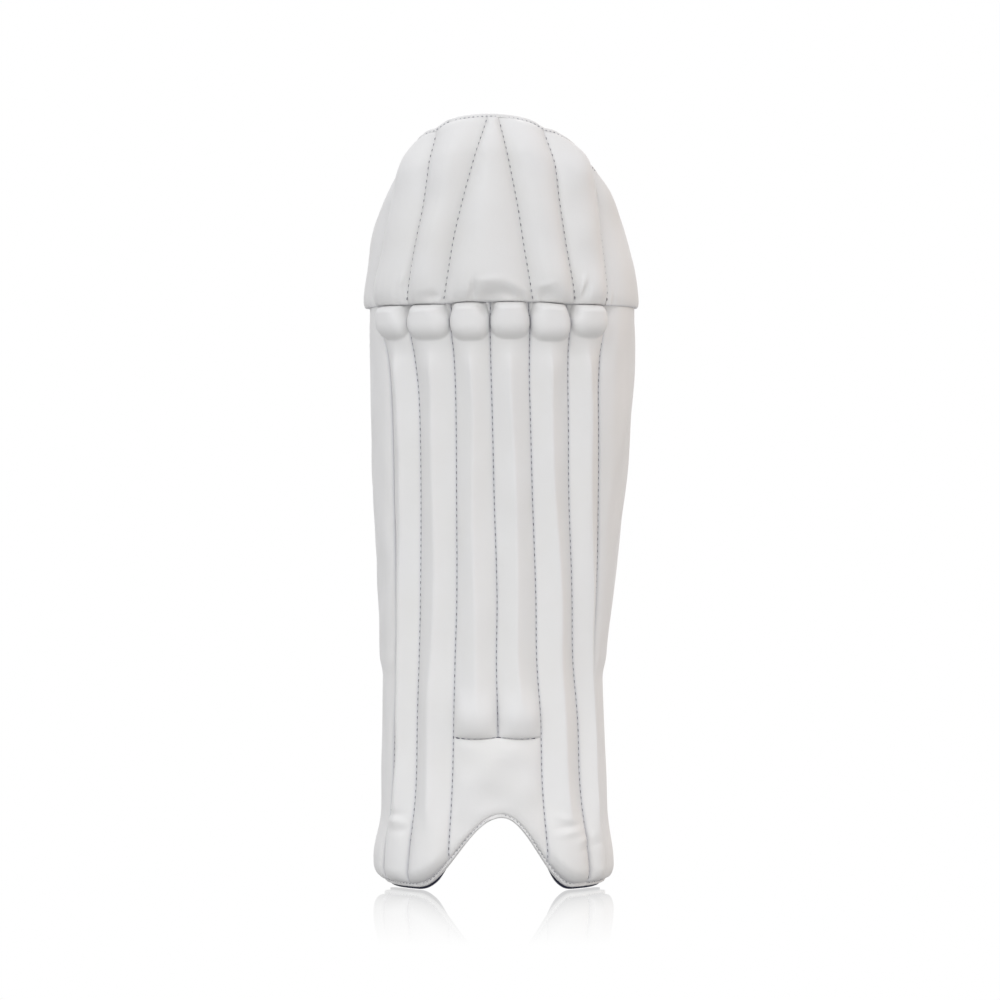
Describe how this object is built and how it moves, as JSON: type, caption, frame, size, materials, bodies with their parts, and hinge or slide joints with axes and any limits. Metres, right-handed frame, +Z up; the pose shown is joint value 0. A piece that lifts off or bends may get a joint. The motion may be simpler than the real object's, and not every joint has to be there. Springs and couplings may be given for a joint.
{
  "type": "wicket keeping pad",
  "caption": "Wicket keeper's leg guard: padded knee channels over ridged shin ribs, side wings and a boot arch, sewn to a navy lining with straps behind.",
  "frame": {"origin": "middle of the outer box, on the floor that the two foot lobes stand on", "axes": "+Z up the shin to the knee, -Y out of the padded front, +X to the right of someone facing the front"},
  "size_m": [0.222, 0.147, 0.62],
  "materials": {
    "white_leather": "smooth white coated leather with a soft satin sheen",
    "navy_lining": "matt navy woven cloth",
    "white_webbing": "matt white woven webbing"
  },
  "bodies": {
    "root": {"lining": "navy_lining", "knee_panel_outer_left": "white_leather", "knee_panel_middle_left": "white_leather", "knee_panel_inner_left": "white_leather", "knee_panel_centre": "white_leather", "knee_panel_inner_right": "white_leather", "knee_panel_middle_right": "white_leather", "knee_panel_outer_right": "white_leather", "shin_rib_outer_left": "white_leather", "shin_rib_middle_left": "white_leather", "shin_rib_inner_left": "white_leather", "shin_rib_inner_right": "white_leather", "shin_rib_middle_right": "white_leather", "shin_rib_outer_right": "white_leather", "wing_left": "white_leather", "wing_right": "white_leather", "instep_panel": "white_leather", "knee_welt": "white_leather", "foot_welt": "white_leather", "ankle_strap": "white_webbing", "calf_strap": "white_webbing"}
  },
  "joints": []
}
